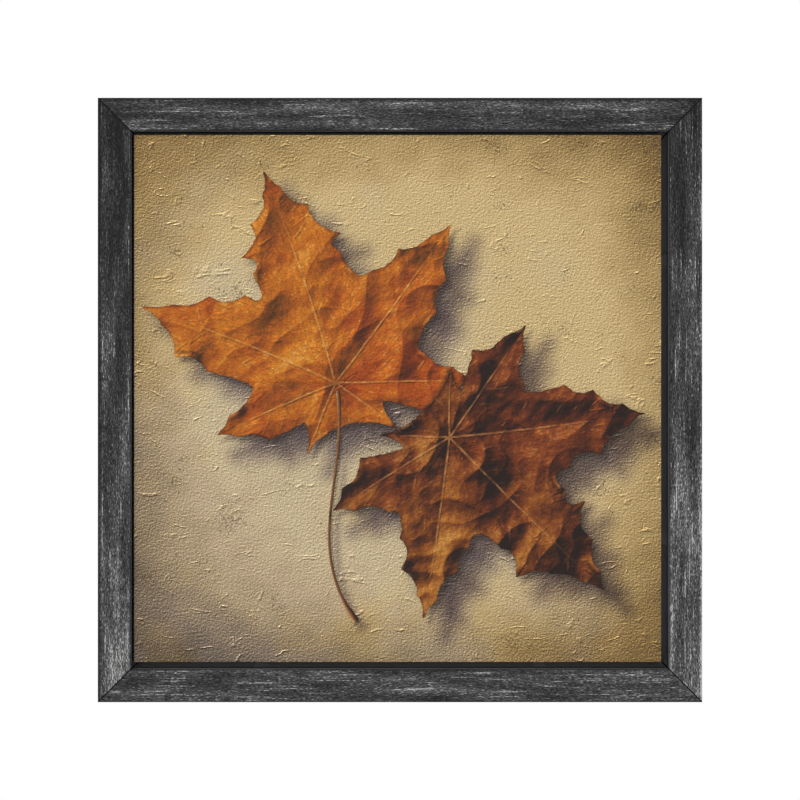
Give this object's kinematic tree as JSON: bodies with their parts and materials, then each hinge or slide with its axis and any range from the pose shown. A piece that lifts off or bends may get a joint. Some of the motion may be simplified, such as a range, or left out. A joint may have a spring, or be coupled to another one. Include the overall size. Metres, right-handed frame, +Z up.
{
  "type": "framed canvas picture",
  "caption": "Square stretched canvas with a painting of autumn maple leaves, set behind a narrow gap in a flat-faced mitred dark grey wood frame; hangs on a wall nail by a sawtooth hanger.",
  "frame": {"origin": "the middle notch of the sawtooth hanger, in the plane of the wall that the picture hangs on", "axes": "+Z up; the picture faces -Y; +Y points to the wall; +X is to the right as the viewer sees it"},
  "size_m": [0.4656, 0.035, 0.4656],
  "materials": {
    "charcoal_wood": "charcoal grey paint, dry-brushed in pale grey along the grain, matt",
    "pine": "planed bare pine",
    "canvas_cloth": "plain-weave cotton, primed and painted in front, raw behind",
    "zinc_plated_steel": "zinc plated, satin",
    "black_rubber": "moulded, matt"
  },
  "bodies": {
    "root": {"canvas": "canvas_cloth", "canvas_staple_bottom_1": "zinc_plated_steel", "canvas_staple_bottom_2": "zinc_plated_steel", "canvas_staple_bottom_3": "zinc_plated_steel", "canvas_staple_bottom_4": "zinc_plated_steel", "canvas_staple_bottom_5": "zinc_plated_steel", "canvas_staple_left_1": "zinc_plated_steel", "canvas_staple_left_2": "zinc_plated_steel", "canvas_staple_left_3": "zinc_plated_steel", "canvas_staple_left_4": "zinc_plated_steel", "canvas_staple_left_5": "zinc_plated_steel", "canvas_staple_right_1": "zinc_plated_steel", "canvas_staple_right_2": "zinc_plated_steel", "canvas_staple_right_3": "zinc_plated_steel", "canvas_staple_right_4": "zinc_plated_steel", "canvas_staple_right_5": "zinc_plated_steel", "canvas_staple_top_1": "zinc_plated_steel", "canvas_staple_top_2": "zinc_plated_steel", "canvas_staple_top_3": "zinc_plated_steel", "canvas_staple_top_4": "zinc_plated_steel", "canvas_staple_top_5": "zinc_plated_steel", "frame_rail_bottom": "charcoal_wood", "frame_rail_left": "charcoal_wood", "frame_rail_right": "charcoal_wood", "frame_rail_top": "charcoal_wood", "frame_v_nail_bottom_left_inner": "zinc_plated_steel", "frame_v_nail_bottom_left_outer": "zinc_plated_steel", "frame_v_nail_bottom_right_inner": "zinc_plated_steel", "frame_v_nail_bottom_right_outer": "zinc_plated_steel", "frame_v_nail_top_left_inner": "zinc_plated_steel", "frame_v_nail_top_left_outer": "zinc_plated_steel", "frame_v_nail_top_right_inner": "zinc_plated_steel", "frame_v_nail_top_right_outer": "zinc_plated_steel", "hanger_nail_left": "zinc_plated_steel", "hanger_nail_right": "zinc_plated_steel", "mounting_screw_bottom_1": "zinc_plated_steel", "mounting_screw_bottom_2": "zinc_plated_steel", "mounting_screw_left_1": "zinc_plated_steel", "mounting_screw_left_2": "zinc_plated_steel", "mounting_screw_right_1": "zinc_plated_steel", "mounting_screw_right_2": "zinc_plated_steel", "mounting_screw_top_1": "zinc_plated_steel", "mounting_screw_top_2": "zinc_plated_steel", "sawtooth_hanger": "zinc_plated_steel", "stretcher_bar_bottom": "pine", "stretcher_bar_left": "pine", "stretcher_bar_right": "pine", "stretcher_bar_top": "pine", "stretcher_v_nail_bottom_left": "zinc_plated_steel", "stretcher_v_nail_bottom_right": "zinc_plated_steel", "stretcher_v_nail_top_left": "zinc_plated_steel", "stretcher_v_nail_top_right": "zinc_plated_steel", "wall_bumper_left": "black_rubber", "wall_bumper_right": "black_rubber"}
  },
  "joints": []
}
